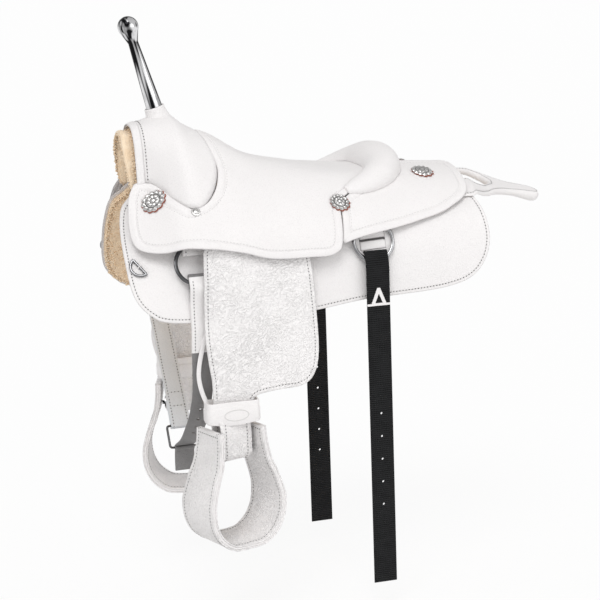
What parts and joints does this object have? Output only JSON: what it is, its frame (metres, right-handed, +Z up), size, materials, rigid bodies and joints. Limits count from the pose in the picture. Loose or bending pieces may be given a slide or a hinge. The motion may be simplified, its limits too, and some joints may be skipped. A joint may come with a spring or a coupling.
{
  "type": "trick riding saddle",
  "caption": "White leather trick riding saddle with tall steel horn, padded cantle, rear hand hold, rigging rings, hanging billets, fenders and bell stirrups.",
  "frame": {"origin": "on the centre line between the tree bars, below the seat, where a rack or the horse's back carries the saddle", "axes": "+X to the rear, -Y to the near (left) side, +Z up"},
  "size_m": [0.9951, 0.6022, 1.2372],
  "materials": {
    "white_leather": "white harness leather, matt",
    "fleece": "wool fleece lining",
    "tree_wood": "rawhide-covered wood",
    "seat_foam": "seat padding",
    "polished_steel": "polished steel",
    "dark_steel": "blackened steel",
    "chrome": "chrome plate",
    "silver_rosette": "silvered rosette",
    "black_nylon": "woven nylon strap",
    "grey_webbing": "woven webbing strap"
  },
  "bodies": {
    "saddle": {"breast_ring_clip_near": "white_leather", "breast_ring_clip_off": "white_leather", "cantle_roll": "white_leather", "fleece_near": "fleece", "fleece_off": "fleece", "fork_cover": "white_leather", "front_ring_keeper_near": "white_leather", "front_ring_keeper_off": "white_leather", "front_ring_near": "dark_steel", "front_ring_off": "dark_steel", "front_rosette_near": "silver_rosette", "front_rosette_off": "silver_rosette", "gullet_binding": "white_leather", "gullet_fleece": "fleece", "hand_hold": "white_leather", "horn": "polished_steel", "horn_collar": "white_leather", "leather_rivet_near": "chrome", "leather_rivet_off": "chrome", "middle_rosette_near": "silver_rosette", "middle_rosette_off": "silver_rosette", "rear_jockey_near": "white_leather", "rear_jockey_off": "white_leather", "rear_ring_keeper_near": "white_leather", "rear_ring_keeper_off": "white_leather", "rear_rosette_near": "silver_rosette", "rear_rosette_off": "silver_rosette", "seat_foam": "seat_foam", "seat_leather": "white_leather", "seat_strainer": "polished_steel", "skirt_near": "white_leather", "skirt_off": "white_leather", "stirrup_leather_top_near": "white_leather", "stirrup_leather_top_off": "white_leather", "tree_bar_near": "tree_wood", "tree_bar_off": "tree_wood", "tree_cantle": "tree_wood", "tree_fork": "tree_wood"},
    "fender_near": {"fender_near": "white_leather", "stirrup_leather_near": "white_leather", "hobble_strap_near": "white_leather"},
    "stirrup_near": {"stirrup_near": "white_leather", "stirrup_bolt_near": "polished_steel"},
    "rear_billet_near": {"rear_ring_near": "chrome", "rear_billet_near": "black_nylon", "billet_lace_near": "white_leather"},
    "breast_ring_near": {"breast_ring_near": "chrome"},
    "fender_off": {"fender_off": "white_leather", "stirrup_leather_off": "white_leather", "hobble_strap_off": "white_leather"},
    "stirrup_off": {"stirrup_off": "white_leather", "stirrup_bolt_off": "polished_steel"},
    "rear_billet_off": {"rear_ring_off": "chrome", "rear_billet_off": "black_nylon", "billet_lace_off": "white_leather"},
    "breast_ring_off": {"breast_ring_off": "chrome"},
    "cinch_loop": {"cinch_strap_off": "white_leather", "cinch_buckle_frame": "dark_steel", "cinch_billet_near": "grey_webbing"},
    "buckle_roller": {"buckle_roller": "dark_steel"}
  },
  "joints": [
    {"name": "fender_swing_near", "type": "hinge", "parent": "saddle", "child": "fender_near", "pos_m": [-0.21, -0.184, -0.012], "axis": [0, 1, 0], "range_deg": [-8, 6]},
    {"name": "stirrup_pivot_near", "type": "hinge", "parent": "fender_near", "child": "stirrup_near", "pos_m": [-0.226, -0.215, -0.46], "axis": [0.9511, 0.309, 0], "range_deg": [-6, 6]},
    {"name": "rear_billet_swing_near", "type": "hinge", "parent": "saddle", "child": "rear_billet_near", "pos_m": [0.105, -0.2013, -0.043], "axis": [0, 0.9362, -0.3515], "range_deg": [-10, 10]},
    {"name": "breast_ring_flip_near", "type": "hinge", "parent": "saddle", "child": "breast_ring_near", "pos_m": [-0.391, -0.1554, -0.0628], "axis": [-0.5057, 0.5738, 0.6442], "range_deg": [0, 110]},
    {"name": "fender_swing_off", "type": "hinge", "parent": "saddle", "child": "fender_off", "pos_m": [-0.21, 0.184, -0.012], "axis": [0, 1, 0], "range_deg": [-8, 6]},
    {"name": "stirrup_pivot_off", "type": "hinge", "parent": "fender_off", "child": "stirrup_off", "pos_m": [-0.226, 0.215, -0.46], "axis": [0.9511, -0.309, 0], "range_deg": [-6, 6]},
    {"name": "rear_billet_swing_off", "type": "hinge", "parent": "saddle", "child": "rear_billet_off", "pos_m": [0.105, 0.2013, -0.043], "axis": [0, 0.9362, 0.3515], "range_deg": [-10, 10]},
    {"name": "breast_ring_flip_off", "type": "hinge", "parent": "saddle", "child": "breast_ring_off", "pos_m": [-0.391, 0.1554, -0.0628], "axis": [0.5057, 0.5738, -0.6442], "range_deg": [0, 110]},
    {"name": "cinch_swing", "type": "hinge", "parent": "saddle", "child": "cinch_loop", "pos_m": [-0.278, 0, -0.1003], "axis": [0, 1, 0], "range_deg": [-5, 5]},
    {"name": "buckle_roller_spin", "type": "hinge", "parent": "cinch_loop", "child": "buckle_roller", "pos_m": [-0.278, 0.0039, -0.5047], "axis": [1, 0, 0], "continuous": true}
  ]
}
